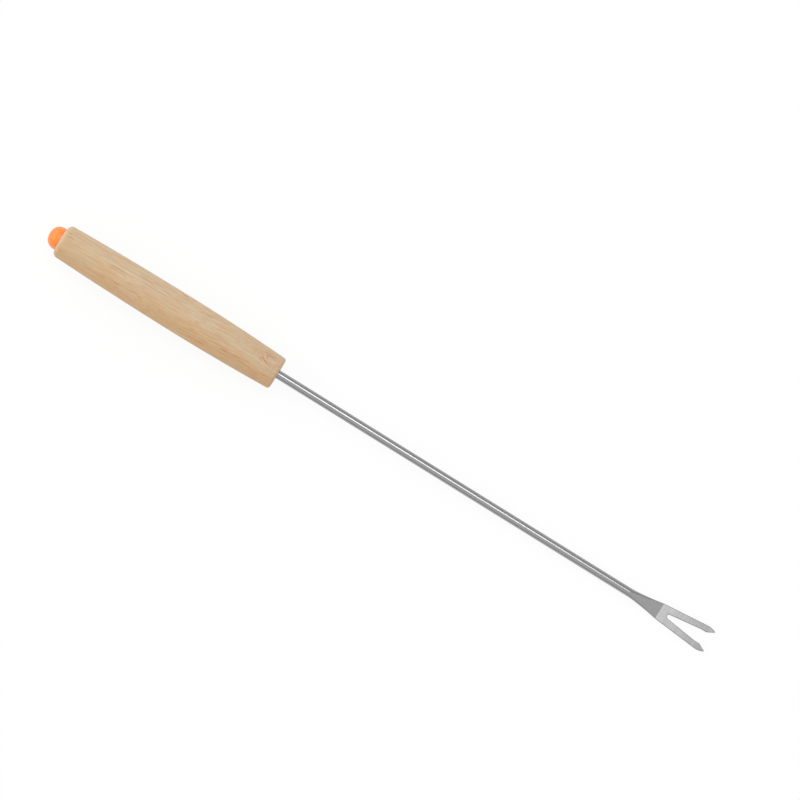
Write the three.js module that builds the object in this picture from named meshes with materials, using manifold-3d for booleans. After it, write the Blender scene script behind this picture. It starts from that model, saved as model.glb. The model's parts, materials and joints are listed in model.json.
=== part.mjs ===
// A two-tined fondue fork, lying on a table as it comes to rest. Millimetres, +Z up, +X towards the tines.
// A stainless wire is pressed flat at the front and blanked into two barbed tines. Its tang is glued into
// a turned wooden handle, and a coloured dome plugs the butt so that each guest knows their own fork.
//
// Every piece is drawn along its own axis first: x is 0 at the butt face and grows towards the tines.
// The finished fork is then tipped onto the belly of its handle and the points of its tines.

import * as THREE from "three";
import { LoftGeometry } from "three/addons/geometries/LoftGeometry.js";
import { mergeVertices } from "three/addons/utils/BufferGeometryUtils.js";
import Module from "manifold-3d";

// Handle: a barrel turned from one stick
const HANDLE_LENGTH = 85.4;
const BUTT_DIAMETER = 11.8;
const BELLY_DIAMETER = 13.4;
const SHOULDER_DIAMETER = 11.5;
const BELLY_FROM_BUTT = 47.4;
const BUTT_ROUND = 1.9;
const SHOULDER_ROUND = 1.0;

// Blind holes drilled into both ends of the handle
const TANG_DEPTH = 42;
const HOLE_CHAMFER = 0.15;
const DRILL_POINT_ANGLE = 118;
const DRILL_RUNOUT = 1.0;
const GLUE_GAP = 0.1;

// Wire, from the handle's shoulder to the points of the tines
const WIRE_DIAMETER = 3.0;
const REACH = 170.2;

// Ears: the tang is nipped flat near its end, so that it can't turn or pull out
const EAR_THICKNESS = 2.0;
const EAR_LENGTH = 5;
const EAR_RAMP = 2.5;
const EAR_FROM_END = 1.5;
const TANG_CHAMFER = 0.4;

// Fan: the wire pressed out from round to the flat blade
const FAN_LENGTH = 11.8;
const FAN_FLARE = 1.5;
const STEP_WIDTH = 5.85;

// Blade: flat plate from the step line at the end of the fan to the points
const BLADE_THICKNESS = 1.2;
const BRIDGE = 3.0;
const BLADE_WIDTH = 8.85;
const EDGE_BREAK = 0.15;
const TINE_LENGTH = 16.7;
const SLOT_ROOT_RADIUS = 0.75;
const POINT_SPACING = 7.25;
const POINT_LENGTH = 2.6;
const POINT_ROUND = 3.1;
const POINT_FULLNESS = 0.7;
const BARB_GAP = 4.5;
const BARB_LENGTH = 2.2;
const BARB_DRAW_IN = 0.04;
const BLADE_ROOT = 1.0;
const ROOT_TAPER = 0.5;

// Cap: a dome seated on the butt, on a stem with retaining rings
const DOME_DIAMETER = 8.1;
const DOME_HEIGHT = 4.3;
const DOME_FULLNESS = 2.4;
const STEM_DIAMETER = 4.6;
const STEM_LENGTH = 10;
const STEM_RINGS = 3;
const RING_HEIGHT = 0.2;
const RING_LENGTH = 1.4;
const RING_PITCH = 2.6;
const CAP_GAP = 0.1;
const SEAT_GAP = 0.05;

// Facets
const TURNED_SIDES = 48;
const BARREL_STEPS = 9;
const ROUND_STEPS = 5;
const DOME_STEPS = 9;
const CORNER_STEPS = 7;
const FAN_STEPS = 12;
const CURVE_STEPS = 8;
const BREAK_STEPS = 2;
const MERGE_DISTANCE = 1e-5;

const WIRE_RADIUS = WIRE_DIAMETER / 2;
const TANG_HOLE_RADIUS = WIRE_RADIUS + GLUE_GAP;
const CAP_HOLE_RADIUS = STEM_DIAMETER / 2 + RING_HEIGHT + CAP_GAP;
const CAP_HOLE_DEPTH = STEM_LENGTH + DRILL_RUNOUT;
const BLADE_LENGTH = TINE_LENGTH + BRIDGE;
const TIP_X = HANDLE_LENGTH + REACH;
const STEP_X = TIP_X - BLADE_LENGTH;
const FAN_X = STEP_X - FAN_LENGTH;
const TANG_X = HANDLE_LENGTH - TANG_DEPTH;

const wasm = await Module();
wasm.setup();

// A closed geometry as a solid for joining and cutting. Corners that fall together are one vertex, and
// triangles that this leaves without an area are dropped.
function solidOf(geometry) {
  const bare = new THREE.BufferGeometry().copy(geometry);
  bare.deleteAttribute("normal");
  bare.deleteAttribute("uv");
  const merged = mergeVertices(bare, MERGE_DISTANCE);
  const corners = merged.index.array;
  const triangles = [];
  for (let i = 0; i < corners.length; i += 3) {
    const [a, b, c] = corners.slice(i, i + 3);
    if (a !== b && b !== c && c !== a) triangles.push(a, b, c);
  }
  return new wasm.Manifold(
    new wasm.Mesh({
      numProp: 3,
      vertProperties: new Float32Array(merged.attributes.position.array),
      triVerts: new Uint32Array(triangles),
    }),
  );
}

// The geometry of a joined or cut solid.
function geometryOf(solid) {
  const mesh = solid.getMesh();
  const geometry = new THREE.BufferGeometry();
  geometry.setAttribute("position", new THREE.BufferAttribute(mesh.vertProperties, 3));
  geometry.setIndex(new THREE.BufferAttribute(mesh.triVerts, 1));
  geometry.computeVertexNormals();
  return geometry;
}

// A profile of [x, radius] points turned about the x axis.
function turned(profile) {
  const points = profile.map(([x, radius]) => new THREE.Vector2(radius, x));
  return new THREE.LatheGeometry(points, TURNED_SIDES).rotateZ(-Math.PI / 2);
}

// Points of a round about a centre, as [x, radius] pairs, between two angles in degrees.
function round(x, radius, size, from, to) {
  return Array.from({ length: ROUND_STEPS + 1 }, (_, i) => {
    const angle = THREE.MathUtils.degToRad(from + ((to - from) * i) / ROUND_STEPS);
    return [x + size * Math.cos(angle), radius + size * Math.sin(angle)];
  });
}

// How far a drill's point runs on below a hole of this radius.
function drillPoint(radius) {
  return radius / Math.tan(THREE.MathUtils.degToRad(DRILL_POINT_ANGLE / 2));
}

// Radius of the barrel, which falls away from the belly as a parabola towards each end.
function barrelRadius(x) {
  const towardsButt = x < BELLY_FROM_BUTT;
  const end = (towardsButt ? BUTT_DIAMETER : SHOULDER_DIAMETER) / 2;
  const span = towardsButt ? BELLY_FROM_BUTT : HANDLE_LENGTH - BELLY_FROM_BUTT;
  const share = (x - BELLY_FROM_BUTT) / span;
  return BELLY_DIAMETER / 2 - (BELLY_DIAMETER / 2 - end) * share ** 2;
}

// Outside of the handle from the butt face to the shoulder face.
function barrelProfile() {
  const start = BUTT_ROUND;
  const end = HANDLE_LENGTH - SHOULDER_ROUND;
  const swell = [];
  for (let i = 1; i < 2 * BARREL_STEPS; i += 1) {
    const share = i / BARREL_STEPS;
    const x =
      share < 1
        ? THREE.MathUtils.lerp(start, BELLY_FROM_BUTT, share)
        : THREE.MathUtils.lerp(BELLY_FROM_BUTT, end, share - 1);
    swell.push([x, barrelRadius(x)]);
  }
  return [
    ...round(start, barrelRadius(start) - BUTT_ROUND, BUTT_ROUND, 180, 90),
    ...swell,
    ...round(end, barrelRadius(end) - SHOULDER_ROUND, SHOULDER_ROUND, 90, 0),
  ];
}

// Half the width of the tang where it is nipped to a thickness: the section keeps the wire's area.
function nippedHalfWidth(thickness) {
  const half = thickness / 2;
  return half + (Math.PI * (WIRE_RADIUS ** 2 - half ** 2)) / (4 * half);
}

// A section across the wire: a rectangle of these half sizes whose corners are rounded.
function wireSection({ x, halfWidth, halfThickness, corner }) {
  const centres = [
    [1, 1],
    [-1, 1],
    [-1, -1],
    [1, -1],
  ];
  return centres.flatMap(([ySide, zSide], quarter) =>
    Array.from({ length: CORNER_STEPS + 1 }, (_, i) => {
      const angle = (quarter + i / CORNER_STEPS) * (Math.PI / 2);
      const y = ySide * (halfWidth - corner) + corner * Math.cos(angle);
      const z = zSide * (halfThickness - corner) + corner * Math.sin(angle);
      return new THREE.Vector3(x, y, z);
    }),
  );
}

// The same section let out on all sides.
function letOut(section, gap) {
  return {
    x: section.x,
    halfWidth: section.halfWidth + gap,
    halfThickness: section.halfThickness + gap,
    corner: section.corner + gap,
  };
}

function loft(sections) {
  return new LoftGeometry(sections.map(wireSection), { capStart: true, capEnd: true });
}

function roundSection(x, radius = WIRE_RADIUS) {
  return { x, halfWidth: radius, halfThickness: radius, corner: radius };
}

// The nipped stretch of the tang, from round wire to round wire.
function earSections() {
  const start = TANG_X + EAR_FROM_END;
  const half = EAR_THICKNESS / 2;
  const nipped = { halfWidth: nippedHalfWidth(EAR_THICKNESS), halfThickness: half, corner: half };
  return [
    roundSection(start),
    { x: start + EAR_RAMP, ...nipped },
    { x: start + EAR_RAMP + EAR_LENGTH, ...nipped },
    roundSection(start + 2 * EAR_RAMP + EAR_LENGTH),
  ];
}

// The fan: flats slope evenly from the round wire down to the blade while the sides flare and sharpen.
function fanSections() {
  return Array.from({ length: FAN_STEPS + 1 }, (_, i) => {
    const share = i / FAN_STEPS;
    return {
      x: THREE.MathUtils.lerp(FAN_X, STEP_X, share),
      halfWidth: THREE.MathUtils.lerp(WIRE_RADIUS, STEP_WIDTH / 2, share ** FAN_FLARE),
      halfThickness: THREE.MathUtils.lerp(WIRE_RADIUS, BLADE_THICKNESS / 2, share),
      corner: THREE.MathUtils.lerp(WIRE_RADIUS, EDGE_BREAK, share),
    };
  });
}

// The blade's outline: from its root inside the fan along one side to a point, back past the barb, down the
// flank and round the bottom of the slot, then the same along the other tine. Along x it is measured back
// from the points.
function bladeShape() {
  const rootX = -BLADE_LENGTH - BLADE_ROOT;
  const rootHalf = STEP_WIDTH / 2 - BLADE_ROOT * ROOT_TAPER;
  const slotCentre = -TINE_LENGTH + SLOT_ROOT_RADIUS;
  const barbX = -POINT_LENGTH - BARB_LENGTH;
  const barbHalf = BARB_GAP / 2 - BARB_DRAW_IN;
  const away = Math.hypot(barbX - slotCentre, barbHalf);
  const flank = Math.atan2(barbHalf, barbX - slotCentre) - Math.asin(SLOT_ROOT_RADIUS / away);
  const slotStart = Math.PI / 2 + flank;
  const pullX = -POINT_ROUND * (1 - POINT_FULLNESS);

  const shape = new THREE.Shape();
  shape.moveTo(rootX, -rootHalf);
  shape.lineTo(-BLADE_LENGTH, -STEP_WIDTH / 2);
  shape.lineTo(-POINT_ROUND, -BLADE_WIDTH / 2);
  shape.quadraticCurveTo(pullX, -BLADE_WIDTH / 2, 0, -POINT_SPACING / 2);
  shape.lineTo(-POINT_LENGTH, -BARB_GAP / 2);
  shape.lineTo(barbX, -barbHalf);
  shape.absarc(slotCentre, 0, SLOT_ROOT_RADIUS, -slotStart, slotStart - 2 * Math.PI, true);
  shape.lineTo(barbX, barbHalf);
  shape.lineTo(-POINT_LENGTH, BARB_GAP / 2);
  shape.lineTo(0, POINT_SPACING / 2);
  shape.quadraticCurveTo(pullX, BLADE_WIDTH / 2, -POINT_ROUND, BLADE_WIDTH / 2);
  shape.lineTo(-BLADE_LENGTH, STEP_WIDTH / 2);
  shape.lineTo(rootX, rootHalf);
  shape.closePath();
  return shape;
}

function handleGeometry() {
  const tangHoleEnd = TANG_X - DRILL_RUNOUT;
  const body = turned([
    [CAP_HOLE_DEPTH + drillPoint(CAP_HOLE_RADIUS), 0],
    [CAP_HOLE_DEPTH, CAP_HOLE_RADIUS],
    [HOLE_CHAMFER, CAP_HOLE_RADIUS],
    [0, CAP_HOLE_RADIUS + HOLE_CHAMFER],
    ...barrelProfile(),
    [HANDLE_LENGTH, TANG_HOLE_RADIUS + HOLE_CHAMFER],
    [HANDLE_LENGTH - HOLE_CHAMFER, TANG_HOLE_RADIUS],
    [tangHoleEnd, TANG_HOLE_RADIUS],
    [tangHoleEnd - drillPoint(TANG_HOLE_RADIUS), 0],
  ]);
  const bittenByEars = loft(earSections().map((section) => letOut(section, GLUE_GAP)));
  return geometryOf(solidOf(body).subtract(solidOf(bittenByEars)));
}

// The wire and the blade are joined where each runs on inside the other: the blade's root in the fan, and
// a tongue on the fan in the bridge behind the slot.
function forkGeometry() {
  const fan = fanSections();
  const tongue = { ...letOut(fan.at(-1), -EDGE_BREAK / 2), x: STEP_X + BRIDGE / 2 };
  const wire = loft([
    roundSection(TANG_X, WIRE_RADIUS - TANG_CHAMFER),
    roundSection(TANG_X + TANG_CHAMFER),
    ...earSections(),
    ...fan,
    tongue,
  ]);
  const plate = BLADE_THICKNESS - 2 * EDGE_BREAK;
  const blade = new THREE.ExtrudeGeometry(bladeShape(), {
    depth: plate,
    curveSegments: CURVE_STEPS,
    bevelThickness: EDGE_BREAK,
    bevelSize: EDGE_BREAK,
    bevelOffset: -EDGE_BREAK,
    bevelSegments: BREAK_STEPS,
  }).translate(TIP_X, 0, -plate / 2);
  return geometryOf(solidOf(wire).add(solidOf(blade)));
}

function capGeometry() {
  const seat = -SEAT_GAP;
  const dome = Array.from({ length: DOME_STEPS + 1 }, (_, i) => {
    const angle = (Math.PI / 2) * (1 - i / DOME_STEPS);
    const x = seat - DOME_HEIGHT * Math.sin(angle) ** (2 / DOME_FULLNESS);
    const radius = (DOME_DIAMETER / 2) * Math.cos(angle) ** (2 / DOME_FULLNESS);
    return [x, i === 0 ? 0 : radius];
  });
  const stem = STEM_DIAMETER / 2;
  const rings = Array.from({ length: STEM_RINGS }, (_, i) => {
    const end = STEM_LENGTH - RING_HEIGHT - (STEM_RINGS - 1 - i) * RING_PITCH;
    return [
      [end - RING_LENGTH, stem],
      [end - RING_LENGTH, stem + RING_HEIGHT],
      [end, stem],
    ];
  });
  const stemEnd = [
    [STEM_LENGTH, stem - RING_HEIGHT],
    [STEM_LENGTH, 0],
  ];
  return turned([...dome, [seat, stem], ...rings.flat(), ...stemEnd]);
}

function piece(name, geometry, color, roughness, metalness) {
  const mesh = new THREE.Mesh(geometry, new THREE.MeshStandardMaterial({ color, roughness, metalness }));
  mesh.name = name;
  return mesh;
}

const fork = new THREE.Group();
fork.add(
  piece("wooden_handle", handleGeometry(), 0xcfb08c, 0.6, 0),
  piece("steel_fork", forkGeometry(), 0xb9b9b9, 0.3, 1),
  piece("colour_cap", capGeometry(), 0xff9446, 0.35, 0),
);

// Tip the fork until the underside of the points is level with the lowest part of the barrel.
const restAngles = barrelProfile().map(([x, radius]) => Math.atan2(radius - BLADE_THICKNESS / 2, TIP_X - x));
fork.rotation.y = Math.max(...restAngles);

// Stand it on z = 0, with the middle of its length at x = 0.
const box = new THREE.Box3().setFromObject(fork, true);
const middle = box.getCenter(new THREE.Vector3());
fork.position.set(-middle.x, -middle.y, -box.min.z);

const fondueFork = new THREE.Group();
fondueFork.add(fork);

export default fondueFork;
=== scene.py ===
"""A two-tined fondue fork lying at rest: turned wooden handle, pressed steel fork and moulded cap.

Every piece is drawn along the fork's own axis, in metres: x is 0 at the handle's shoulder face and grows
towards the tines, y runs across the blade and z stands square to its broad face. PLACE then lays the
piece where the frame has it. Finishes are drawn along the same axes, in millimetres.
"""

import json
import math

import bmesh
import bpy
from mathutils import Matrix, Vector


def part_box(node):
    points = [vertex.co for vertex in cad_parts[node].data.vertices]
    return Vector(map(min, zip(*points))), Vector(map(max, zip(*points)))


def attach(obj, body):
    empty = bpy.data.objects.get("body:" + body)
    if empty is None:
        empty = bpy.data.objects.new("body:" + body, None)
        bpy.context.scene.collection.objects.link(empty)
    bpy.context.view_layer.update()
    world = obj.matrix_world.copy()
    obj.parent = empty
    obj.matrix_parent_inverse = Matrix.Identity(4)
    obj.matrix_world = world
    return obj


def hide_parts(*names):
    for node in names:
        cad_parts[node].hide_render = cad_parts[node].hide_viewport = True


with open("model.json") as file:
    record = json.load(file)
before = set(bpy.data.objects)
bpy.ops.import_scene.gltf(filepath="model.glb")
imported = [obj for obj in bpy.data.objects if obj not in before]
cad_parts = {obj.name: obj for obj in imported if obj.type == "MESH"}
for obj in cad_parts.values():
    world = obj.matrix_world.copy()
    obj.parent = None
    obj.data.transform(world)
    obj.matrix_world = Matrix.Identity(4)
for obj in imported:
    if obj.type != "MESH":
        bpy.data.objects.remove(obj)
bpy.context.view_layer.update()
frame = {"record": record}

bl_info = {
    "name": "Fondue Fork",
    "version": (1, 0, 0),
    "blender": (4, 5, 0),
    "location": "View3D > Sidebar > Fondue Fork",
    "description": "Builds a fondue fork's handle, fork, cap and studio",
    "category": "Add Mesh",
}

MM = 0.001

# The frame gives the axis: the shoulder face is square to it, and its mount lies a little above it.
SHOULDER_MOUNT = frame["record"]["mounts"][0]
MOUNT_RADIUS = 3.45 * MM
AXIS = Vector(SHOULDER_MOUNT["axis"]).normalized()
SIDE = Vector((0, 1, 0))
FACE = AXIS.cross(SIDE)
DIP = math.atan2(-AXIS.z, AXIS.x)
SHOULDER = Vector(SHOULDER_MOUNT["pos_m"]) - MOUNT_RADIUS * FACE
PLACE = Matrix.Translation(SHOULDER) @ Matrix((AXIS, SIDE, FACE)).transposed().to_4x4()

# A lathe turns about z, and the fork lies along x.
LATHE_TO_AXIS = Matrix(((0, 0, 1), (1, 0, 0), (0, 1, 0))).to_4x4()

# Widths that the frame fixes, in millimetres
HANDLE_LOW, HANDLE_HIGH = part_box("wooden_handle")
FORK_LOW, FORK_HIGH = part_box("steel_fork")
CAP_LOW, CAP_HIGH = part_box("colour_cap")
BELLY_WIDTH = (HANDLE_HIGH.y - HANDLE_LOW.y) / MM
TINES_WIDTH = (FORK_HIGH.y - FORK_LOW.y) / MM
DOME_WIDTH = (CAP_HIGH.y - CAP_LOW.y) / MM

# Fineness of the meshes
TURNED_SIDES = 160
PROFILE_POINTS = 33
ROUND_STEPS = 10
DOME_STEPS = 40
CORNER_STEPS = 10
FAN_STEPS = 40
CURVE_STEPS = 20
MERGE_DISTANCE = 0.0001 * MM
CREASE_ANGLE = math.radians(30)

# The round on the blade's edge is never more than this share of the way to the tine's point.
POINT_FADE = 0.3

# The handle's profile is swept round a circle of this radius, and is measured out from it.
SWEEP_RADIUS = 10 * MM

# Holes run on a little past what they hold, and end in a cone DRILL_POINT times as deep as wide.
DRILL_RUNOUT = 1.0 * MM
DRILL_POINT_ANGLE = math.radians(118)
DRILL_POINT = 0.5 / math.tan(DRILL_POINT_ANGLE / 2)

# The kinds of node that are used most
MATH = "ShaderNodeMath"
VECTOR_MATH = "ShaderNodeVectorMath"
MAP_RANGE = "ShaderNodeMapRange"
MIX = "ShaderNodeMix"

# Nearly all of a noise lies in this span.
NOISE_SPAN = (0.3, 0.7)

# Where two points of the fork stand in the 800 pixel wide photograph
PHOTO_WIDTH = 800
BUTT_PIXEL = Vector((61.1, 239.8))
POINTS_PIXEL = Vector((709.2, 642.0))

# Where lamps and cards stand, the way that their backs look, and their lengths and widths, in metres
STRIP_LAMP = {"place": (-0.105, 0.49, 1.63), "back": (0, 0.29, 0.96), "size": (0.69, 0.46)}
SIDE_LAMP = {"place": (-1.2, 0.12, 0.75), "back": (-1.2, 0.12, 0.75), "size": (0.7, 1.9)}
UPPER_CARD = {"place": (-0.1, 1.35, 0.87), "back": (0, 0.84, 0.54), "size": (1.8, 1.96)}
LOWER_CARD = {"place": (0.0, -1.28, 0.22), "back": (0, -0.98, 0.17), "size": (2.0, 0.44)}
UPPER_CARD_GREY = 0.6
LOWER_CARD_GREY = 0.3
FLOOR_SIZE = (8.0, 8.0)
PAPER_WHITE = 0.95


def linear_from_hex(code):
    """Turn an sRGB hex colour into the linear values that shaders take."""
    channels = [int(code[i : i + 2], 16) / 255 for i in (1, 3, 5)]
    return tuple(c / 12.92 if c <= 0.04045 else ((c + 0.055) / 1.055) ** 2.4 for c in channels)


def size_property(name, millimetres, description):
    """A length that the user may change, written in millimetres."""
    return bpy.props.FloatProperty(
        name=name, description=description, default=millimetres * MM, min=0, unit="LENGTH", precision=5
    )


def number_property(name, default, description, **limits):
    """A number that the user may change."""
    return bpy.props.FloatProperty(name=name, description=description, default=default, **limits)


def colour_property(name, code, description):
    """A colour that the user may change, written as sRGB hex."""
    return bpy.props.FloatVectorProperty(
        name=name, description=description, default=linear_from_hex(code), subtype="COLOR", min=0, max=1
    )


class HandleSizes(bpy.types.PropertyGroup):
    """Sizes of the turned handle."""

    length: size_property("Length", 85.4, "From the butt face to the shoulder face")
    butt_diameter: size_property("Butt Diameter", 11.8, "Barrel at the butt, before its edge is rounded")
    belly_diameter: size_property("Belly Diameter", BELLY_WIDTH, "Barrel where it is fullest")
    shoulder_diameter: size_property("Shoulder Diameter", 11.5, "Barrel at the shoulder")
    belly_from_butt: size_property("Belly from Butt", 47.4, "Where along the handle the barrel is fullest")
    butt_round: size_property("Butt Round", 1.9, "Radius on the edge of the butt")
    shoulder_round: size_property("Shoulder Round", 1.0, "Radius on the edge of the shoulder")
    glue_gap: size_property("Glue Gap", 0.1, "Clearance around the tang and the stem")


class ForkSizes(bpy.types.PropertyGroup):
    """Sizes of the wire, its tang, its fan and its blade."""

    wire_diameter: size_property("Wire Diameter", 3.0, "Drawn wire that the fork is pressed from")
    reach: size_property("Reach", 170.2, "From the handle's shoulder to the points")
    tang_depth: size_property("Tang Depth", 42.0, "Wire inside the handle")
    tang_chamfer: size_property("Tang Chamfer", 0.4, "Lead-in on the end of the tang")
    ear_thickness: size_property("Ear Thickness", 2.0, "Tang where it is nipped flat")
    ear_length: size_property("Ear Length", 5.0, "Length of the nipped flat")
    ear_ramp: size_property("Ear Ramp", 2.5, "Length over which the flat runs out")
    ear_from_end: size_property("Ear from End", 1.5, "From the end of the tang to the nipped stretch")
    fan_length: size_property("Fan Length", 11.8, "Stretch pressed from round to flat")
    fan_flare: number_property("Fan Flare", 1.5, "How late the fan's sides spread", min=1)
    step_width: size_property("Step Width", 5.85, "Across the line where the fan meets the blade")
    blade_thickness: size_property("Blade Thickness", 1.2, "Flat plate of the tines")
    blade_width: size_property("Blade Width", TINES_WIDTH, "Across both tines")
    edge_break: size_property("Edge Break", 0.15, "Radius left on the blanked edges")
    bridge: size_property("Bridge", 3.0, "From the step line to the bottom of the slot")
    tine_length: size_property("Tine Length", 16.7, "From the bottom of the slot to the points")
    slot_root_radius: size_property("Slot Root Radius", 0.75, "Bottom of the slot")
    point_spacing: size_property("Point Spacing", 7.25, "Between the two points")
    point_length: size_property("Point Length", 2.6, "From the barb's corner to the point")
    point_round: size_property("Point Round", 3.1, "Length over which the outer edge curves to the point")
    point_fullness: number_property(
        "Point Fullness", 0.7, "How full the outer edge's curve is", min=0, max=1
    )
    barb_gap: size_property("Barb Gap", 4.5, "Between the corners of the two barbs")
    barb_length: size_property("Barb Length", 2.2, "Along the barb's inner edge")
    barb_draw_in: size_property("Barb Draw In", 0.04, "How far the barb's base stands in from its corner")


class CapSizes(bpy.types.PropertyGroup):
    """Sizes of the moulded cap."""

    dome_diameter: size_property("Dome Diameter", DOME_WIDTH, "Dome where it meets the butt")
    dome_height: size_property("Dome Height", 4.3, "Dome above the butt")
    dome_fullness: number_property("Dome Fullness", 2.4, "2 is an ellipse and more is squarer", min=1)
    rim_round: size_property("Rim Round", 0.06, "Radius under the dome's rim")
    seat_gap: size_property("Seat Gap", 0.02, "Between the dome and the butt")
    stem_diameter: size_property("Stem Diameter", 4.6, "Stem pressed into the handle")
    stem_length: size_property("Stem Length", 10.0, "Stem inside the handle")
    ring_count: bpy.props.IntProperty(
        name="Rings", description="Retaining rings on the stem", default=3, min=0
    )
    ring_height: size_property("Ring Height", 0.2, "How far a ring stands off the stem")
    ring_length: size_property("Ring Length", 1.4, "Slope of a ring along the stem")
    ring_pitch: size_property("Ring Pitch", 2.6, "From ring to ring")


class FinishColours(bpy.types.PropertyGroup):
    """Colours of the finishes."""

    # Pale and honey wood lie on opposite sides of the handle. The darker honey side also carries painted
    # shade.
    wood_pale: colour_property("Pale Wood", "#cab595", "Sapwood on the paler side of the handle")
    wood_honey: colour_property("Honey Wood", "#caaa81", "Heartwood on the warmer side of the handle")
    # The streak colour also paints the highlight on the round of the butt.
    wood_streak_and_butt_highlight: colour_property("Wood Streak", "#ddcab0", "Pale streaks and the worn butt")
    wood_line: colour_property("Wood Line", "#c98d50", "Warm lines and flecks along the grain")
    wood_pore: colour_property("Wood Pore", "#b8703f", "Open pores, seen as short brown dashes")
    wood_figure: colour_property("Wood Figure", "#b0663e", "Broken rings round the eye by the shoulder")
    wire: colour_property("Drawn Wire", "#aaaaab", "Wire and fan")
    blade: colour_property("Ground Blade", "#c2c2c3", "Blade where it was ground across")
    # Darker than the sheared steel alone: partly painted shade on the blade's edges.
    blanked_edge_and_shade: colour_property("Blanked Edge", "#848484", "Edges of the blade as the die left them")
    cap: colour_property("Cap", "#fb8b31", "Dome that marks whose fork it is")


class StageSettings(bpy.types.PropertyGroup):
    """Camera and light."""

    camera_distance: size_property("Camera Distance", 1600, "From the lens to the fork")
    camera_roll: number_property(
        "Camera Roll",
        math.radians(4),
        "How far the view swings about the fork's axis, towards the lower edge of the picture",
        subtype="ANGLE",
    )
    sensor_width: number_property("Sensor Width", 36, "Width of the camera's sensor, in millimetres")
    ambient: number_property("Ambient", 0.81, "Soft light from all round")
    backdrop: number_property("Backdrop", 0.8, "Brightness of the surroundings as seen and mirrored")
    floor_glow: number_property(
        "Floor Glow", 0.9, "Share of the floor's white that no shadow dims", min=0, max=1
    )
    strip_power: number_property("Strip Power", 3.3, "Lamp above the fork", unit="POWER")
    side_power: number_property("Side Power", 7.4, "Soft lamp beyond the butt", unit="POWER")


def add_node(tree, kind, fill=None, **settings):
    """Add a node with its own settings, and fill its inputs with values, sockets or other nodes."""
    node = tree.nodes.new(kind)
    for name, value in settings.items():
        setattr(node, name, value)
    for key, value in (fill or {}).items():
        if isinstance(key, int):
            socket = node.inputs[key]
        else:
            socket = next(s for s in node.inputs if s.enabled and s.name == key)
        if isinstance(value, bpy.types.Node):
            value = next(s for s in value.outputs if s.enabled)
        if isinstance(value, bpy.types.NodeSocket):
            tree.links.new(value, socket)
        else:
            socket.default_value = value
    return node


def new_material(name):
    """An empty node material."""
    material = bpy.data.materials.new(name)
    material.use_nodes = True
    material.node_tree.nodes.clear()
    return material


def axis_point(tree):
    """Object coordinates in millimetres along, across and square to the fork, from the shoulder."""
    coordinates = add_node(tree, "ShaderNodeTexCoord")
    return add_node(
        tree,
        "ShaderNodeMapping",
        {
            "Vector": coordinates.outputs["Object"],
            "Location": SHOULDER,
            "Rotation": (0, DIP, 0),
            "Scale": (MM, MM, MM),
        },
        vector_type="TEXTURE",
    )


def stretched_noise(tree, point, grain, start, detail=2.0):
    """Noise whose blots are about as long, wide and deep as grain, in the units of point.

    Each noise has a start of its own, so that no two are alike.
    """
    spread = tuple(1 / length for length in grain)
    place = add_node(
        tree, VECTOR_MATH, {0: point, 1: spread, 2: (start, start, start)}, operation="MULTIPLY_ADD"
    )
    return add_node(
        tree, "ShaderNodeTexNoise", {"Vector": place, "Scale": 1.0, "Detail": detail, "Roughness": 0.6}
    )


def shaded(tree, colour, pattern, span, shades):
    """Colour times a shade, which goes through shades as the pattern goes through its span."""
    low, high = span
    first, last = shades
    shade = add_node(
        tree,
        MAP_RANGE,
        {"Value": pattern, "From Min": low, "From Max": high, "To Min": first, "To Max": last},
    )
    return add_node(
        tree, MIX, {"Factor": 1.0, "A": colour, "B": shade}, data_type="RGBA", blend_type="MULTIPLY"
    )


def stained(tree, colour, stain, pattern, span, most=1.0):
    """Colour with a stain in it: none where the pattern's span begins, and most where it ends."""
    low, high = span
    share = add_node(
        tree, MAP_RANGE, {"Value": pattern, "From Min": low, "From Max": high, "To Max": most}
    )
    return add_node(tree, MIX, {"Factor": share, "A": colour, "B": (*stain, 1)}, data_type="RGBA")


def lay_finish(tree, colour, pattern, rough, relief, bump, depth, fixed):
    """Lead a finish into its shader, with a roughness from the pattern and a bump from the relief.

    The roughness goes through rough as the pattern rises. The bump has a strength and, in millimetres,
    a depth. What is the same all over is fixed on the shader's own sockets.
    """
    low, high = NOISE_SPAN
    first, last = rough
    roughness = add_node(
        tree,
        MAP_RANGE,
        {"Value": pattern, "From Min": low, "From Max": high, "To Min": first, "To Max": last},
    )
    normal = add_node(
        tree, "ShaderNodeBump", {"Strength": bump, "Distance": depth * MM, "Height": relief}
    )
    shader = add_node(
        tree,
        "ShaderNodeBsdfPrincipled",
        {"Base Color": colour, "Roughness": roughness, "Normal": normal, **fixed},
    )
    add_node(tree, "ShaderNodeOutputMaterial", {"Surface": shader})


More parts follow.
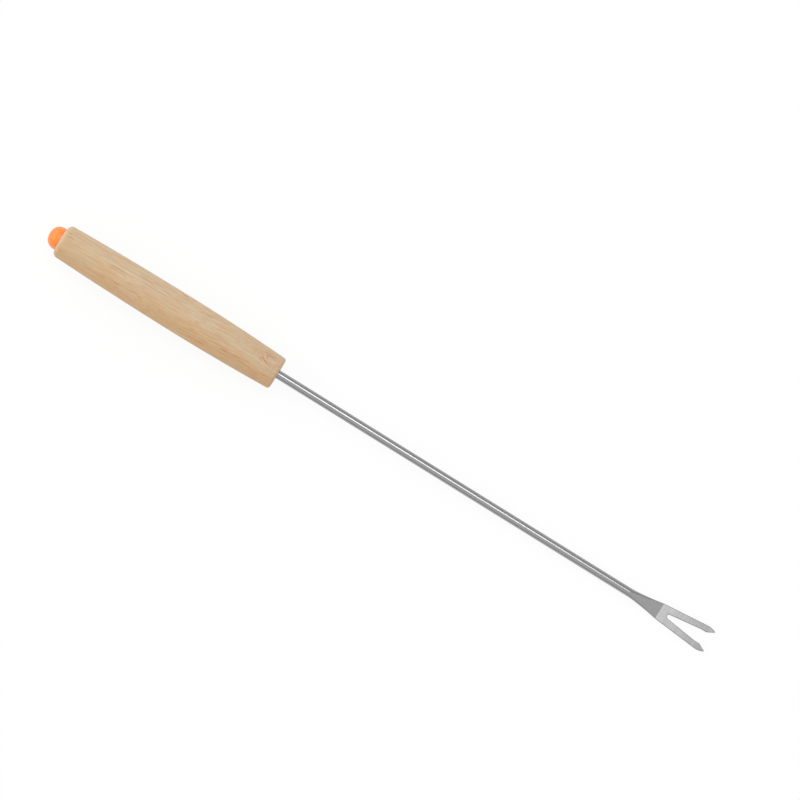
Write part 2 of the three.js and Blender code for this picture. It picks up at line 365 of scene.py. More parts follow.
def sanded_rubberwood(colours, handle):
    """Rubberwood, turned and sanded under a thin matt varnish.

    It reads as a pale honey stick with fine long lines, short brown pores and one small eye in the grain.
    """
    material = new_material("rubberwood_sanded")
    tree = material.node_tree
    point = axis_point(tree)
    place = add_node(tree, "ShaderNodeSeparateXYZ", {"Vector": point}).outputs
    along = place["X"]
    across = place["Y"]

    # The eye lies on the upper side just behind the shoulder. The grain is pushed aside to flow round it.
    eye_centre = (-3.6, 2.3, 5.4)
    eye_size = (4.4, 1.9, 1.9)
    parting = 0.5
    from_eye = add_node(tree, VECTOR_MATH, {0: point, 1: eye_centre}, operation="SUBTRACT")
    in_eye = add_node(tree, VECTOR_MATH, {0: from_eye, 1: eye_size}, operation="DIVIDE")
    reach = add_node(tree, VECTOR_MATH, {0: in_eye}, operation="LENGTH").outputs["Value"]
    push = add_node(tree, MATH, {0: reach, 1: reach, 2: parting}, operation="MULTIPLY_ADD")
    push = add_node(tree, MATH, {0: -parting, 1: push}, operation="DIVIDE")
    aside = add_node(tree, VECTOR_MATH, {0: from_eye, 1: (0, 1, 1)}, operation="MULTIPLY")
    aside = add_node(tree, VECTOR_MATH, {0: aside, "Scale": push}, operation="SCALE")
    parted = add_node(tree, VECTOR_MATH, {0: point, 1: aside}, operation="ADD")

    # Grain runs a few degrees off the axis and wanders by about a millimetre.
    slant = math.radians(-3)
    wander = stretched_noise(tree, point, (45, 10, 10), start=3.1, detail=0.0)
    drift = add_node(
        tree,
        VECTOR_MATH,
        {0: wander.outputs["Color"], 1: (0.0, 2.5, 2.5), 2: parted},
        operation="MULTIPLY_ADD",
    )
    grain = add_node(tree, "ShaderNodeMapping", {"Vector": drift, "Rotation": (0, 0, slant)})

    # Broad tone: heartwood turns to sapwood across the stick, along growth rings about 1.5 mm apart. The
    # turn across is partly painted shade: the side towards -y is painted darker and warmer.
    turn = 0.11
    tone_and_side_shade = stretched_noise(tree, grain, (40, 1.4, 1.4), start=11.0, detail=3.0)
    tone_and_side_shade = add_node(tree, MATH, {0: across, 1: turn, 2: tone_and_side_shade}, operation="MULTIPLY_ADD")
    colour = stained(tree, (*colours.wood_honey, 1), colours.wood_pale, tone_and_side_shade, (0.1, 0.56))

    # Fibres are far finer than a pixel, so the coarsest are drawn 0.25 mm apart to show.
    fibre = stretched_noise(tree, grain, (14, 0.25, 0.25), start=5.0, detail=3.0)
    colour = shaded(tree, colour, fibre, (0.34, 0.66), (0.935, 1.055))

    # Short vessel flecks, 1 to 3 mm long. Real ones are 0.1 mm wide, drawn at 0.3 mm to show.
    fleck = stretched_noise(tree, grain, (2.2, 0.3, 0.3), start=97.0, detail=1.0)
    colour = stained(tree, colour, colours.wood_line, fleck, (0.48, 0.72), most=0.26)

    # The shoulder's end drank more varnish, and grows a little darker over its last 30 mm.
    colour = shaded(tree, colour, along, (-30.0, -6.0), (1.0, 0.96))

    # Pale streaks about 0.45 mm wide and 24 mm long, and warm lines 0.3 mm wide and 12 mm long
    streak = stretched_noise(tree, grain, (24, 0.45, 0.45), start=23.0)
    colour = stained(tree, colour, colours.wood_streak_and_butt_highlight, streak, (0.6, 0.72), most=0.55)
    line = stretched_noise(tree, grain, (12, 0.3, 0.3), start=31.0)
    colour = stained(tree, colour, colours.wood_line, line, (0.5, 0.68), most=0.7)

    # Pores: dashes 4 to 9 mm long, in bands. Real ones are 0.1 mm wide, drawn at 0.25 mm to show.
    band = stretched_noise(tree, grain, (24, 1.8, 1.8), start=41.0)
    band = add_node(tree, MAP_RANGE, {"Value": band, "From Min": 0.42, "From Max": 0.58})
    pore = stretched_noise(tree, grain, (8, 0.25, 0.25), start=57.0, detail=1.0)
    pore = add_node(tree, MAP_RANGE, {"Value": pore, "From Min": 0.6, "From Max": 0.68})
    pore = add_node(tree, MATH, {0: pore, 1: band}, operation="MULTIPLY")
    colour = stained(tree, colour, colours.wood_pore, pore, (0.0, 1.0), most=0.95)

    # Painted highlight: the round of the butt is painted paler, most of all 0.3 mm in from the end, where
    # the lamp beyond the butt catches it.
    butt_highlight_x = 0.3 - handle.length / MM
    off_butt_highlight = add_node(tree, MATH, {0: along, 1: butt_highlight_x}, operation="SUBTRACT")
    off_butt_highlight = add_node(tree, MATH, {0: off_butt_highlight}, operation="ABSOLUTE")
    colour = stained(tree, colour, colours.wood_streak_and_butt_highlight, off_butt_highlight, (0.5, 0.1), most=0.4)

    # The eye is pale in the middle. Its rim has redder rings about 0.7 mm apart across the grain, which
    # wobble, are broken here and there, and stay open towards the shoulder.
    rim_reach = 0.78
    ring_turn = 18.0
    ring_wobble = 10.0
    colour = stained(tree, colour, colours.wood_pale, reach, (0.8, 0.3), most=0.8)
    off_rim = add_node(tree, MATH, {0: reach, 1: rim_reach}, operation="SUBTRACT")
    off_rim = add_node(tree, MATH, {0: off_rim}, operation="ABSOLUTE")
    rim = add_node(tree, MAP_RANGE, {"Value": off_rim, "From Min": 0.5, "From Max": 0.2})
    ahead = add_node(tree, "ShaderNodeSeparateXYZ", {"Vector": from_eye}).outputs["X"]
    behind = add_node(tree, MAP_RANGE, {"Value": ahead, "From Min": 2.6, "From Max": 0.6})
    wobble = stretched_noise(tree, point, (3.0, 1.0, 1.0), start=71.0)
    wobble = add_node(tree, MATH, {0: wobble, 1: ring_wobble}, operation="MULTIPLY")
    ring = add_node(tree, MATH, {0: reach, 1: ring_turn, 2: wobble}, operation="MULTIPLY_ADD")
    ring = add_node(tree, MATH, {0: ring}, operation="SINE")
    ring = add_node(tree, MAP_RANGE, {"Value": ring, "From Min": 0.3, "From Max": 0.8})
    kept = stretched_noise(tree, point, (2.2, 0.9, 0.9), start=83.0)
    kept = add_node(tree, MAP_RANGE, {"Value": kept, "From Min": 0.42, "From Max": 0.52})
    for share in (rim, behind, kept):
        ring = add_node(tree, MATH, {0: ring, 1: share}, operation="MULTIPLY")
    colour = stained(tree, colour, colours.wood_figure, ring, (0.0, 1.0), most=0.95)

    # Fibres stand up about a third as far as the pores go down.
    fibre_height = 0.35
    relief = add_node(tree, MATH, {0: fibre, 1: fibre_height}, operation="MULTIPLY")
    relief = add_node(tree, MATH, {0: relief, 1: pore}, operation="SUBTRACT")
    lay_finish(tree, colour, fibre, (0.62, 0.5), relief, bump=0.35, depth=0.03, fixed={"IOR": 1.5})
    return material


def drawn_wire(colours):
    """Stainless wire with a satin polish along its length, as it leaves the drawing die.

    It reads as an even grey rod with one thin bright line and faint lines along it.
    """
    material = new_material("stainless_wire_drawn")
    tree = material.node_tree
    point = axis_point(tree)

    # Die lines are a few hundredths of a millimetre apart, drawn at 0.2 mm to show.
    lines = stretched_noise(tree, point, (120, 0.2, 0.2), start=7.0, detail=1.0)
    colour = shaded(tree, (*colours.wire, 1), lines, NOISE_SPAN, (0.95, 1.05))

    # Its flanks, seen at a slant, stay grey where polished wire would mirror white.
    fixed = {"Metallic": 1.0, "Specular Tint": (0.6, 0.6, 0.6, 1)}
    lay_finish(tree, colour, lines, (0.19, 0.15), lines, bump=0.1, depth=0.003, fixed=fixed)
    return material


def ground_blade(colours, fork):
    """Stainless plate ground across its width after pressing.

    It reads as paler and duller than the wire, with fine lines from edge to edge.
    """
    material = new_material("stainless_blade_ground")
    tree = material.node_tree
    point = axis_point(tree)

    # Grinding lines of 120 grit are about 0.1 mm apart, drawn at 0.25 mm to show.
    lines = stretched_noise(tree, point, (0.25, 7, 7), start=13.0, detail=3.0)
    colour = shaded(tree, (*colours.blade, 1), lines, NOISE_SPAN, (0.88, 1.1))

    # The plate's colour darkens from the fan to the points.
    points_x = fork.reach / MM
    step_x = points_x - (fork.tine_length + fork.bridge) / MM
    along = add_node(tree, "ShaderNodeSeparateXYZ", {"Vector": point}).outputs["X"]
    colour = shaded(tree, colour, along, (step_x, points_x), (1.0, 0.74))
    lay_finish(tree, colour, lines, (0.48, 0.36), lines, bump=0.15, depth=0.01, fixed={"Metallic": 1.0})
    return material


def blanked_edge_and_shade(colours):
    """Stainless edge as the blanking die sheared it, tumbled smooth but never ground.

    It reads as a thin darker outline round the tines, with fine marks down it. Part of that darkness is
    painted shade on the blade's edges.
    """
    material = new_material("stainless_edge_blanked_and_shaded")
    tree = material.node_tree
    point = axis_point(tree)

    # Shear marks run through the plate about 0.15 mm apart.
    marks = stretched_noise(tree, point, (0.15, 0.15, 3.0), start=17.0)
    colour = shaded(tree, (*colours.blanked_edge_and_shade, 1), marks, NOISE_SPAN, (0.85, 1.1))
    lay_finish(tree, colour, marks, (0.5, 0.4), marks, bump=0.2, depth=0.01, fixed={"Metallic": 1.0})
    return material


def moulded_cap_plastic(colours):
    """Coloured polystyrene from a polished mould.

    It reads as an even bright orange with a soft gloss and the faintest ripple.
    """
    material = new_material("polystyrene_moulded")
    tree = material.node_tree
    point = axis_point(tree)

    # Pigment clouds about 1.5 mm across, and mould texture of 0.3 mm
    cloud = stretched_noise(tree, point, (1.6, 1.6, 1.6), start=2.0, detail=3.0)
    colour = shaded(tree, (*colours.cap, 1), cloud, NOISE_SPAN, (0.96, 1.03))
    ripple = stretched_noise(tree, point, (0.3, 0.3, 0.3), start=9.0)
    lay_finish(tree, colour, ripple, (0.26, 0.34), ripple, bump=0.08, depth=0.02, fixed={"IOR": 1.59})
    return material


def plain_mesh(obj):
    """What an object's modifiers make of it, as a mesh of its own. The object is removed."""
    graph = bpy.context.evaluated_depsgraph_get()
    mesh = bpy.data.meshes.new_from_object(obj.evaluated_get(graph))
    bpy.data.objects.remove(obj)
    return mesh


def add_object(name, data):
    """An object at the origin that shows a mesh, lamp or camera."""
    obj = bpy.data.objects.new(name, data)
    bpy.context.scene.collection.objects.link(obj)
    return obj


def close_mesh(bm, mesh):
    """Weld what falls together, point the faces outwards, and write the result to the mesh.

    Faces with many corners are filled wrongly at this small size, so they are split while enlarged.
    """
    bmesh.ops.remove_doubles(bm, verts=bm.verts, dist=MERGE_DISTANCE)
    bmesh.ops.dissolve_degenerate(bm, edges=bm.edges, dist=MERGE_DISTANCE)
    bmesh.ops.recalc_face_normals(bm, faces=bm.faces)
    bmesh.ops.scale(bm, verts=bm.verts, vec=(1 / MM, 1 / MM, 1 / MM))
    bm.normal_update()
    bmesh.ops.triangulate(bm, faces=[face for face in bm.faces if len(face.verts) > 4])
    bmesh.ops.scale(bm, verts=bm.verts, vec=(MM, MM, MM))
    for face in bm.faces:
        face.smooth = True
    bm.to_mesh(mesh)
    bm.free()
    if any(edge.is_loose for edge in mesh.edges):
        raise RuntimeError(f"{mesh.name} has loose edges")


def set_piece(name, mesh, node):
    """Show a finished mesh in place of its solid."""
    piece = add_object(name, mesh)
    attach(piece, "root")
    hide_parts(node)


def cross_section(x, half_width, half_thickness, corner, steps=CORNER_STEPS):
    """Points round a section across the axis: a rectangle with these half sizes and rounded corners."""
    points = []
    for quarter, (y_side, z_side) in enumerate(((1, 1), (-1, 1), (-1, -1), (1, -1))):
        for step in range(steps + 1):
            angle = (quarter + step / steps) * math.pi / 2
            y = y_side * (half_width - corner) + corner * math.cos(angle)
            z = z_side * (half_thickness - corner) + corner * math.sin(angle)
            points.append(Vector((x, y, z)))
    return points


def add_loft(bm, sections):
    """Skin over a row of sections. Returns the corners of each."""
    rings = [[bm.verts.new(point) for point in cross_section(*section)] for section in sections]
    for ring, following in zip(rings, rings[1:]):
        for i in range(len(ring)):
            bm.faces.new((ring[i - 1], ring[i], following[i], following[i - 1]))
    return rings


def ear_sections(fork, gap=0.0):
    """The stretch of the tang that is nipped flat and keeps the wire's area, let out by a gap."""
    radius = fork.wire_diameter / 2
    half = fork.ear_thickness / 2
    nipped_half_width = half + math.pi * (radius**2 - half**2) / (4 * half)
    start = fork.ear_from_end - fork.tang_depth
    flat = start + fork.ear_ramp
    return [
        (start, radius, radius, radius),
        (flat, nipped_half_width + gap, half + gap, half + gap),
        (flat + fork.ear_length, nipped_half_width + gap, half + gap, half + gap),
        (flat + fork.ear_length + fork.ear_ramp, radius, radius, radius),
    ]


def turned_handle_tree(sizes):
    """Geometry Nodes that draw the barrel's profile with its two drilled holes and turn it about z.

    The tree has one input for each of the sizes, and one for the material.
    """
    tree = bpy.data.node_groups.new("turned_handle", "GeometryNodeTree")
    for name in sizes:
        tree.interface.new_socket(name=name, in_out="INPUT", socket_type="NodeSocketFloat")
    tree.interface.new_socket(name="Material", in_out="INPUT", socket_type="NodeSocketMaterial")
    tree.interface.new_socket(name="Handle", in_out="OUTPUT", socket_type="NodeSocketGeometry")
    size = add_node(tree, "NodeGroupInput").outputs
    length = size["Length"]
    to_belly = size["Belly from Butt"]
    belly = size["Belly Diameter"]
    index = add_node(tree, "GeometryNodeInputIndex")
    last = PROFILE_POINTS - 1

    # All points but the two ends lie on the barrel, which falls away from the belly as a parabola.
    share = add_node(tree, MATH, {0: index, 1: 1}, operation="SUBTRACT")
    share = add_node(tree, MATH, {0: share, 1: last - 2}, operation="DIVIDE", use_clamp=True)
    along = add_node(tree, MATH, {0: share, 1: length}, operation="MULTIPLY")
    from_belly = add_node(tree, MATH, {0: along, 1: to_belly}, operation="SUBTRACT")
    butt_side = add_node(tree, MATH, {0: from_belly, 1: 0.0}, operation="LESS_THAN")
    front_span = add_node(tree, MATH, {0: length, 1: to_belly}, operation="SUBTRACT")
    span = add_node(tree, MIX, {"Factor": butt_side, "A": front_span, "B": to_belly})
    end = add_node(
        tree, MIX, {"Factor": butt_side, "A": size["Shoulder Diameter"], "B": size["Butt Diameter"]}
    )
    fall = add_node(tree, MATH, {0: belly, 1: end}, operation="SUBTRACT")
    part = add_node(tree, MATH, {0: from_belly, 1: span}, operation="DIVIDE")
    part = add_node(tree, MATH, {0: part, 1: part}, operation="MULTIPLY")
    drop = add_node(tree, MATH, {0: fall, 1: part}, operation="MULTIPLY")
    diameter = add_node(tree, MATH, {0: belly, 1: drop}, operation="SUBTRACT")

    # The two ends of the profile are the mouths of the holes. An index matches a place within half a step.
    half_step = 0.5
    for place, hole in ((0, "Cap Hole Diameter"), (last, "Tang Hole Diameter")):
        at_mouth = add_node(tree, MATH, {0: index, 1: place, 2: half_step}, operation="COMPARE")
        diameter = add_node(tree, MIX, {"Factor": at_mouth, "A": diameter, "B": size[hole]})
    outward = add_node(tree, MATH, {0: diameter, 1: 0.5, 2: -SWEEP_RADIUS}, operation="MULTIPLY_ADD")
    below = add_node(tree, MATH, {0: along, 1: -1}, operation="MULTIPLY")
    corner = add_node(tree, "ShaderNodeCombineXYZ", {"X": outward, "Y": below})
    line = add_node(tree, "GeometryNodeCurvePrimitiveLine")
    line = add_node(tree, "GeometryNodeResampleCurve", {"Curve": line, "Count": PROFILE_POINTS})
    line = add_node(tree, "GeometryNodeSetPosition", {"Geometry": line, "Position": corner})

    # Only the two corners of the barrel are rounded.
    rounding = 0.0
    for place, name in ((1, "Butt Round"), (last - 1, "Shoulder Round")):
        at_corner = add_node(tree, MATH, {0: index, 1: place, 2: half_step}, operation="COMPARE")
        rounding = add_node(
            tree, MATH, {0: at_corner, 1: size[name], 2: rounding}, operation="MULTIPLY_ADD"
        )
    barrel = add_node(
        tree,
        "GeometryNodeFilletCurve",
        {"Curve": line, "Count": ROUND_STEPS, "Radius": rounding, "Limit Radius": True},
        mode="POLY",
    )

    # Each hole has a straight wall and the cone that a drill leaves.
    profile = add_node(tree, "GeometryNodeJoinGeometry", {"Geometry": barrel})
    for name, mouth, inward in (("Cap Hole", 0.0, 1), ("Tang Hole", length, -1)):
        hole = size[f"{name} Diameter"]
        depth = size[f"{name} Depth"]
        cone = inward * DRILL_POINT
        wall_end = add_node(tree, MATH, {0: depth, 1: inward, 2: mouth}, operation="MULTIPLY_ADD")
        cone_end = add_node(tree, MATH, {0: hole, 1: cone, 2: wall_end}, operation="MULTIPLY_ADD")
        wall = add_node(tree, MATH, {0: hole, 1: 0.5, 2: -SWEEP_RADIUS}, operation="MULTIPLY_ADD")
        points = []
        for outward, height in ((wall, mouth), (wall, wall_end), (-SWEEP_RADIUS, cone_end)):
            below = add_node(tree, MATH, {0: height, 1: -1}, operation="MULTIPLY")
            points.append(add_node(tree, "ShaderNodeCombineXYZ", {"X": outward, "Y": below}))
        for start, stop in zip(points, points[1:]):
            side = add_node(tree, "GeometryNodeCurvePrimitiveLine", {"Start": start, "End": stop})
            tree.links.new(side.outputs["Curve"], profile.inputs["Geometry"])

    circle = add_node(
        tree, "GeometryNodeCurvePrimitiveCircle", {"Resolution": TURNED_SIDES, "Radius": SWEEP_RADIUS}
    )
    turned = add_node(tree, "GeometryNodeCurveToMesh", {"Curve": circle, "Profile Curve": profile})
    turned = add_node(
        tree, "GeometryNodeMergeByDistance", {"Geometry": turned, "Distance": MERGE_DISTANCE}
    )
    turned = add_node(tree, "GeometryNodeRealizeInstances", {"Geometry": turned})
    turned = add_node(
        tree, "GeometryNodeSetMaterial", {"Geometry": turned, "Material": size["Material"]}
    )
    add_node(tree, "NodeGroupOutput", {"Handle": turned})
    return tree


def turn_handle(handle, fork, cap, material):
    """The barrel, turned, drilled at both ends and bitten by the ears of the tang."""
    sizes = {
        "Length": handle.length,
        "Butt Diameter": handle.butt_diameter,
        "Belly Diameter": handle.belly_diameter,
        "Shoulder Diameter": handle.shoulder_diameter,
        "Belly from Butt": handle.belly_from_butt,
        "Butt Round": handle.butt_round,
        "Shoulder Round": handle.shoulder_round,
        "Cap Hole Diameter": cap.stem_diameter + 2 * (cap.ring_height + handle.glue_gap),
        "Cap Hole Depth": cap.stem_length + DRILL_RUNOUT,
        "Tang Hole Diameter": fork.wire_diameter + 2 * handle.glue_gap,
        "Tang Hole Depth": fork.tang_depth + DRILL_RUNOUT,
    }
    stick = add_object("handle_stick", bpy.data.meshes.new("handle_stick"))
    turning = stick.modifiers.new("turning", "NODES")
    turning.node_group = turned_handle_tree(sizes)
    inputs = {**sizes, "Material": material}
    for socket in turning.node_group.interface.items_tree:
        if socket.in_out == "INPUT":
            turning[socket.identifier] = inputs[socket.name]
    turned = plain_mesh(stick)
    turned.transform(Matrix.Translation((-handle.length, 0, 0)) @ LATHE_TO_AXIS)
    bm = bmesh.new()
    bm.from_mesh(turned)
    close_mesh(bm, turned)

    bite = bpy.data.meshes.new("ear_bite")
    bm = bmesh.new()
    rings = add_loft(bm, ear_sections(fork, handle.glue_gap))
    for ring in (rings[0], rings[-1]):
        bm.faces.new(ring)
    close_mesh(bm, bite)
    body = add_object("handle_body", turned)
    cutter = add_object("ear_cutter", bite)
    cut = body.modifiers.new("ears", "BOOLEAN")
    cut.operation = "DIFFERENCE"
    cut.solver = "EXACT"
    cut.object = cutter
    mesh = plain_mesh(body)
    bpy.data.objects.remove(cutter)
    bm = bmesh.new()
    bm.from_mesh(mesh)
    close_mesh(bm, mesh)
    mesh.name = "handle_turned"
    mesh.set_sharp_from_angle(angle=CREASE_ANGLE)
    mesh.transform(PLACE)
    return mesh


def half_outline(fork):
    """One tine's edge from the step line round its point and barb to the middle of the slot's bottom.

    Points are (x, y) pairs, with x from the shoulder.
    """
    points_x = fork.reach
    outer = fork.blade_width / 2
    point_y = fork.point_spacing / 2
    pull_x = -fork.point_round * (1 - fork.point_fullness)
    outline = []
    for step in range(CURVE_STEPS + 1):
        share = step / CURVE_STEPS
        early = (1 - share) ** 2
        middle = 2 * share * (1 - share)
        x = -early * fork.point_round + middle * pull_x
        outline.append((points_x + x, (early + middle) * outer + share**2 * point_y))
    barb_x = -fork.point_length - fork.barb_length
    barb_half = fork.barb_gap / 2 - fork.barb_draw_in
    outline.append((points_x - fork.point_length, fork.barb_gap / 2))
    outline.append((points_x + barb_x, barb_half))

    # The tine's inner flank runs from the barb's base until it touches the round of the slot's bottom.
    radius = fork.slot_root_radius
    centre_x = radius - fork.tine_length
    away = math.hypot(barb_x - centre_x, barb_half)
    flank = math.atan2(barb_half, barb_x - centre_x) - math.asin(radius / away)
    start = math.pi / 2 + flank
    for step in range(CURVE_STEPS + 1):
        angle = start + (math.pi - start) * step / CURVE_STEPS
        outline.append((points_x + centre_x + radius * math.cos(angle), radius * math.sin(angle)))
    return outline


def edge_column(fork, before, here, after):
    """Points down the blade's edge at one place of its outline, with both corners rounded.

    The round runs out towards a tine's point, where two edges meet.
    """
    tip = Vector((fork.reach, math.copysign(fork.point_spacing / 2, here.y)))
    corner = min(fork.edge_break, POINT_FADE * (here - tip).length)
    first = (here - before).normalized()
    second = (after - here).normalized()
    inward = Vector((first.y + second.y, -first.x - second.x)) / (1 + first.dot(second))
    half = fork.blade_thickness / 2
    upper = []
    for step in range(CORNER_STEPS + 1):
        angle = math.pi / 2 * (1 - step / CORNER_STEPS)
        place = here + inward * corner * (1 - math.cos(angle))
        height = half - corner * (1 - math.sin(angle))
        upper.append(Vector((place.x, place.y, height)))
    return upper + [Vector((above.x, above.y, -above.z)) for above in reversed(upper)]


def press_fork(fork, finishes):
    """Wire from its tang to the end of the fan, and the blanked blade that runs on from it.

    The finishes are those of the wire, of the blade's broad faces and of its edges.
    """
    radius = fork.wire_diameter / 2
    step_x = fork.reach - fork.tine_length - fork.bridge
    fan_x = step_x - fork.fan_length
    tang_x = -fork.tang_depth
    tang_radius = radius - fork.tang_chamfer
    chamfer_x = tang_x + fork.tang_chamfer
    sections = [(tang_x, tang_radius, tang_radius, tang_radius), (chamfer_x, radius, radius, radius)]
    sections += ear_sections(fork)

    # Rings close to each side of the fan's start keep the light on the long wire straight.
    sections.append((fan_x - fork.edge_break, radius, radius, radius))
    for step in range(FAN_STEPS + 1):
        share = step / FAN_STEPS
        half_width = radius + (fork.step_width / 2 - radius) * share**fork.fan_flare
        half_thickness = radius + (fork.blade_thickness / 2 - radius) * share
        corner = radius + (fork.edge_break - radius) * share
        sections.append((fan_x + fork.fan_length * share, half_width, half_thickness, corner))
    bm = bmesh.new()
    rings = add_loft(bm, sections)
    bm.faces.new(rings[0])

    # The edge's first and last columns are the two sides of the fan's last section.
    quarter = CORNER_STEPS + 1
    step_ring = rings[-1]
    left = step_ring[:quarter][::-1] + step_ring[3 * quarter :][::-1]
    right = step_ring[quarter : 3 * quarter]
    half = half_outline(fork)
    outline = [(step_x, fork.step_width / 2), *half, *((x, -y) for x, y in reversed(half[:-1]))]
    outline.append((step_x, -fork.step_width / 2))
    outline = [Vector(place) for place in outline]
    columns = [left]
    for before, here, after in zip(outline, outline[1:], outline[2:]):
        columns.append([bm.verts.new(place) for place in edge_column(fork, before, here, after)])
    columns.append(right)
    for level in (0, -1):
        bm.faces.new([column[level] for column in columns]).material_index = 1
    for column, following in zip(columns, columns[1:]):
        for i in range(len(column) - 1):
            bm.faces.new((column[i], following[i], following[i + 1], column[i + 1])).material_index = 2

    # The step line stays crisp although it is a shallow one.
    for ends in ((left[0], right[0]), (left[-1], right[-1])):
        bm.edges.get(ends).smooth = False
    mesh = bpy.data.meshes.new("fork_pressed")
    close_mesh(bm, mesh)
    step_edges = [edge.index for edge in mesh.edges if edge.use_edge_sharp]
    mesh.set_sharp_from_angle(angle=CREASE_ANGLE)
    for index in step_edges:
        mesh.edges[index].use_edge_sharp = True
    for finish in finishes:
        mesh.materials.append(finish)
    mesh.transform(PLACE)

    # Flats take their light from their own slope and not from the rounds beside them.
    flats = add_object("fork_flats", mesh)
    evening = flats.modifiers.new("flats", "WEIGHTED_NORMAL")
    evening.keep_sharp = True
    mesh = plain_mesh(flats)
    mesh.name = "fork_pressed"
    return mesh


def mould_cap(handle, cap, material):
    """The dome that seats on the butt and its stem with sloped retaining rings, turned about the axis."""
    radius = cap.dome_diameter / 2
    seat = -cap.seat_gap
    rise = cap.dome_height - cap.rim_round
    power = 2 / cap.dome_fullness
    profile = []
    for step in range(DOME_STEPS + 1):
        angle = math.pi / 2 * (1 - step / DOME_STEPS)
        x = seat - cap.rim_round - rise * math.sin(angle) ** power
        profile.append((x, radius * max(math.cos(angle), 0) ** power))

    # The top of the dome lies exactly on the axis.
    profile[0] = (profile[0][0], 0)
    for step in range(1, ROUND_STEPS + 1):
        angle = math.pi / 2 * step / ROUND_STEPS
        x = seat - cap.rim_round * (1 - math.sin(angle))
        profile.append((x, radius - cap.rim_round * (1 - math.cos(angle))))
    stem = cap.stem_diameter / 2
    profile.append((seat, stem))
    for ring in range(cap.ring_count):
        end = cap.stem_length - cap.ring_height - (cap.ring_count - 1 - ring) * cap.ring_pitch
        profile.append((end - cap.ring_length, stem))
        profile.append((end - cap.ring_length, stem + cap.ring_height))
        profile.append((end, stem))
    profile.append((cap.stem_length, stem - cap.ring_height))
    profile.append((cap.stem_length, 0))

    # Each point of the profile goes round the axis in a circle.
    quarter_steps = TURNED_SIDES // 4
    bm = bmesh.new()
    add_loft(bm, [(x - handle.length, across, across, across, quarter_steps) for x, across in profile])
    mesh = bpy.data.meshes.new("cap_moulded")
    close_mesh(bm, mesh)
    mesh.set_sharp_from_angle(angle=CREASE_ANGLE)
    mesh.materials.append(material)
    mesh.transform(PLACE)
    return mesh


def seen_share(tree):
    """1 for rays from the camera, a mirror or a clear piece, and 0 for light that is scattered."""
    path = add_node(tree, "ShaderNodeLightPath").outputs
    seen = path["Is Camera Ray"]
    for ray in ("Is Glossy Ray", "Is Transmission Ray"):
        seen = add_node(tree, MATH, {0: seen, 1: path[ray]}, operation="MAXIMUM")
    return seen


def white_floor(stage):
    """White paper sweep: seen as white, and dimmed a little where the fork keeps light off it."""
    material = new_material("paper_sweep_white")
    tree = material.node_tree
    seen = seen_share(tree)
    glow = add_node(tree, MATH, {0: seen, 1: stage.floor_glow}, operation="MULTIPLY")
    paper = add_node(
        tree, "ShaderNodeBsdfDiffuse", {"Color": (PAPER_WHITE, PAPER_WHITE, PAPER_WHITE, 1)}
    )
    white = add_node(tree, "ShaderNodeEmission", {"Color": (1, 1, 1, 1), "Strength": 1.0})
    shader = add_node(tree, "ShaderNodeMixShader", {"Fac": glow, 1: paper, 2: white})
    add_node(tree, "ShaderNodeOutputMaterial", {"Surface": shader})
    return material


def flat_sheet(name, size, material):
    """A rectangle of this length and width, flat round the origin."""
    x, y = (extent / 2 for extent in size)
    mesh = bpy.data.meshes.new(name)
    mesh.from_pydata([(-x, -y, 0), (x, -y, 0), (x, y, 0), (-x, y, 0)], [], [(0, 1, 2, 3)])
    mesh.materials.append(material)
    return mesh


def set_floor(stage):
    """A large flat sheet just under the fork."""
    mesh = flat_sheet("floor", FLOOR_SIZE, white_floor(stage))
    mesh.transform(Matrix.Translation((0, 0, -MERGE_DISTANCE)))
    add_object("floor", mesh)


def set_world(stage):
    """Even light from all round, with surroundings that show as a pale backdrop."""
    world = bpy.data.worlds.new("studio")
    world.use_nodes = True
    tree = world.node_tree
    tree.nodes.clear()
    strength = add_node(tree, MIX, {"Factor": seen_share(tree), "A": stage.ambient, "B": stage.backdrop})
    background = add_node(tree, "ShaderNodeBackground", {"Color": (1, 1, 1, 1), "Strength": strength})
    add_node(tree, "ShaderNodeOutputWorld", {"Surface": background})
    bpy.context.scene.world = world


def facing(place, back):
    """Where a lamp or card stands whose back looks this way, with its length along the fork."""
    back = Vector(back).normalized()
    across = (Vector((1, 0, 0)) - back * back.x).normalized()
    return Matrix.Translation(place) @ Matrix((across, back.cross(across), back)).transposed().to_4x4()


def set_lamp(name, power, place, back, size):
    """A soft rectangular lamp."""
    lamp = bpy.data.lights.new(name, "AREA")
    lamp.shape = "RECTANGLE"
    lamp.size, lamp.size_y = size
    lamp.energy = power
    add_object(name, lamp).matrix_world = facing(place, back)


def set_card(name, grey, place, back, size):
    """A grey card out of the picture, which the steel mirrors as a darker band.

    Neither the camera nor scattered light sees it.
    """
    material = new_material(name)
    tree = material.node_tree
    shader = add_node(tree, "ShaderNodeBsdfDiffuse", {"Color": (grey, grey, grey, 1)})
    add_node(tree, "ShaderNodeOutputMaterial", {"Surface": shader})
    mesh = flat_sheet(name, size, material)
    mesh.transform(facing(place, back))
    card = add_object(name, mesh)
    card.visible_camera = False
    card.visible_diffuse = False


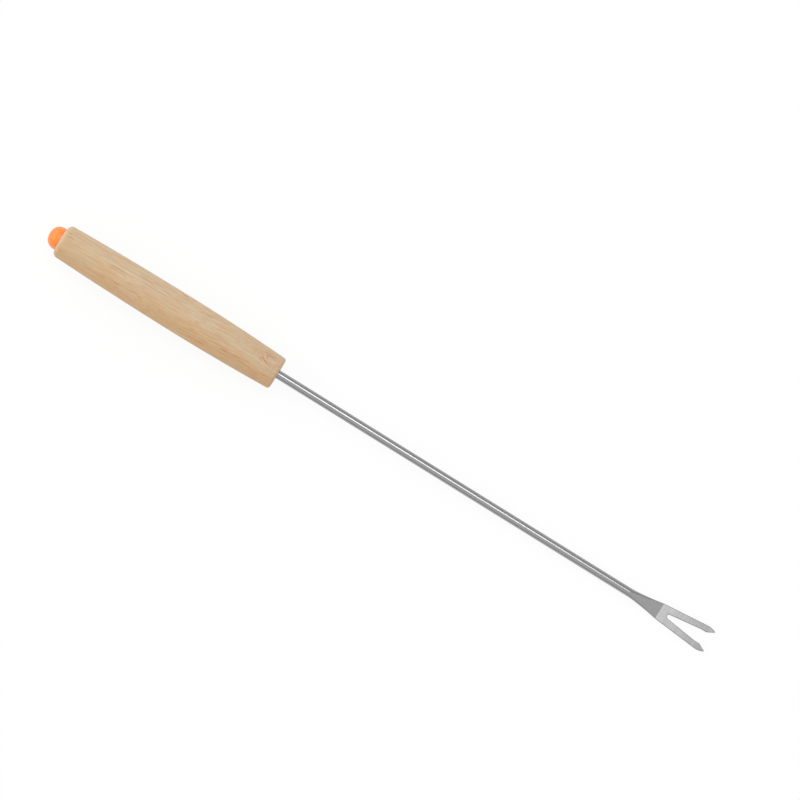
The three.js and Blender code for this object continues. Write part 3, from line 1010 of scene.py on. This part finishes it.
def set_camera(stage, handle, fork):
    """Look down on the blade, a little from one side, with butt and points as in the photograph."""
    along = POINTS_PIXEL - BUTT_PIXEL
    pixel = (handle.length + fork.reach) / along.length
    along.normalize()
    right = AXIS * along.x + SIDE * along.y
    up = SIDE * along.x - AXIS * along.y
    to_middle = Vector((PHOTO_WIDTH / 2, PHOTO_WIDTH / 2)) - BUTT_PIXEL
    target = SHOULDER - AXIS * handle.length + (right * to_middle.x - up * to_middle.y) * pixel
    swing = Matrix.Rotation(stage.camera_roll, 3, AXIS)
    right = swing @ right
    up = swing @ up
    back = right.cross(up)
    camera = bpy.data.cameras.new("photo_camera")
    camera.sensor_width = stage.sensor_width
    camera.lens = stage.sensor_width * stage.camera_distance / (PHOTO_WIDTH * pixel)
    obj = add_object("photo_camera", camera)
    turn = Matrix((right, up, back)).transposed().to_4x4()
    obj.matrix_world = Matrix.Translation(target + back * stage.camera_distance) @ turn
    bpy.context.scene.camera = obj


class FORK_OT_turn_handle(bpy.types.Operator):
    """Turn the wooden handle"""

    bl_idname = "fondue_fork.turn_handle"
    bl_label = "Turn Handle"

    def execute(self, context):
        scene = context.scene
        wood = sanded_rubberwood(scene.fork_colours, scene.fork_handle)
        mesh = turn_handle(scene.fork_handle, scene.fork_steel, scene.fork_cap, wood)
        set_piece("turned_handle", mesh, "wooden_handle")
        return {"FINISHED"}


class FORK_OT_press_fork(bpy.types.Operator):
    """Press the wire into a fork"""

    bl_idname = "fondue_fork.press_fork"
    bl_label = "Press Fork"

    def execute(self, context):
        scene = context.scene
        colours = scene.fork_colours
        fork = scene.fork_steel
        mesh = press_fork(fork, (drawn_wire(colours), ground_blade(colours, fork), blanked_edge_and_shade(colours)))
        set_piece("pressed_fork", mesh, "steel_fork")
        return {"FINISHED"}


class FORK_OT_mould_cap(bpy.types.Operator):
    """Mould the coloured cap"""

    bl_idname = "fondue_fork.mould_cap"
    bl_label = "Mould Cap"

    def execute(self, context):
        scene = context.scene
        mesh = mould_cap(scene.fork_handle, scene.fork_cap, moulded_cap_plastic(scene.fork_colours))
        set_piece("moulded_cap", mesh, "colour_cap")
        return {"FINISHED"}


class FORK_OT_set_stage(bpy.types.Operator):
    """Set up the floor, the light and the camera"""

    bl_idname = "fondue_fork.set_stage"
    bl_label = "Set Stage"

    def execute(self, context):
        scene = context.scene
        stage = scene.fork_stage
        scene.view_settings.view_transform = "Standard"
        set_world(stage)
        set_floor(stage)
        set_lamp("strip_lamp", stage.strip_power, **STRIP_LAMP)
        set_lamp("side_lamp", stage.side_power, **SIDE_LAMP)
        set_card("upper_card", UPPER_CARD_GREY, **UPPER_CARD)
        set_card("lower_card", LOWER_CARD_GREY, **LOWER_CARD)
        set_camera(stage, scene.fork_handle, scene.fork_steel)
        return {"FINISHED"}


class FORK_PT_sidebar(bpy.types.Panel):
    """Sizes, colours and steps of the fork"""

    bl_idname = "FORK_PT_sidebar"
    bl_label = "Fondue Fork"
    bl_space_type = "VIEW_3D"
    bl_region_type = "UI"
    bl_category = "Fondue Fork"

    def draw(self, context):
        layout = self.layout
        for operator in OPERATORS:
            layout.operator(operator.bl_idname)
        for name in GROUPS:
            group = getattr(context.scene, name)
            box = layout.box()
            for setting in group.bl_rna.properties:
                if setting.identifier not in ("rna_type", "name"):
                    box.prop(group, setting.identifier)


GROUPS = {
    "fork_handle": HandleSizes,
    "fork_steel": ForkSizes,
    "fork_cap": CapSizes,
    "fork_colours": FinishColours,
    "fork_stage": StageSettings,
}
OPERATORS = (FORK_OT_turn_handle, FORK_OT_press_fork, FORK_OT_mould_cap, FORK_OT_set_stage)
CLASSES = (*GROUPS.values(), *OPERATORS, FORK_PT_sidebar)


def register():
    """Register the classes and hang their settings on the scene."""
    for kind in CLASSES:
        bpy.utils.register_class(kind)
    for name, group in GROUPS.items():
        setattr(bpy.types.Scene, name, bpy.props.PointerProperty(type=group))


def unregister():
    """Undo register."""
    for name in GROUPS:
        delattr(bpy.types.Scene, name)
    for kind in reversed(CLASSES):
        bpy.utils.unregister_class(kind)


def main():
    """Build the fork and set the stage."""
    register()
    bpy.ops.fondue_fork.turn_handle()
    bpy.ops.fondue_fork.press_fork()
    bpy.ops.fondue_fork.mould_cap()
    bpy.ops.fondue_fork.set_stage()


if __name__ == "__main__":
    main()
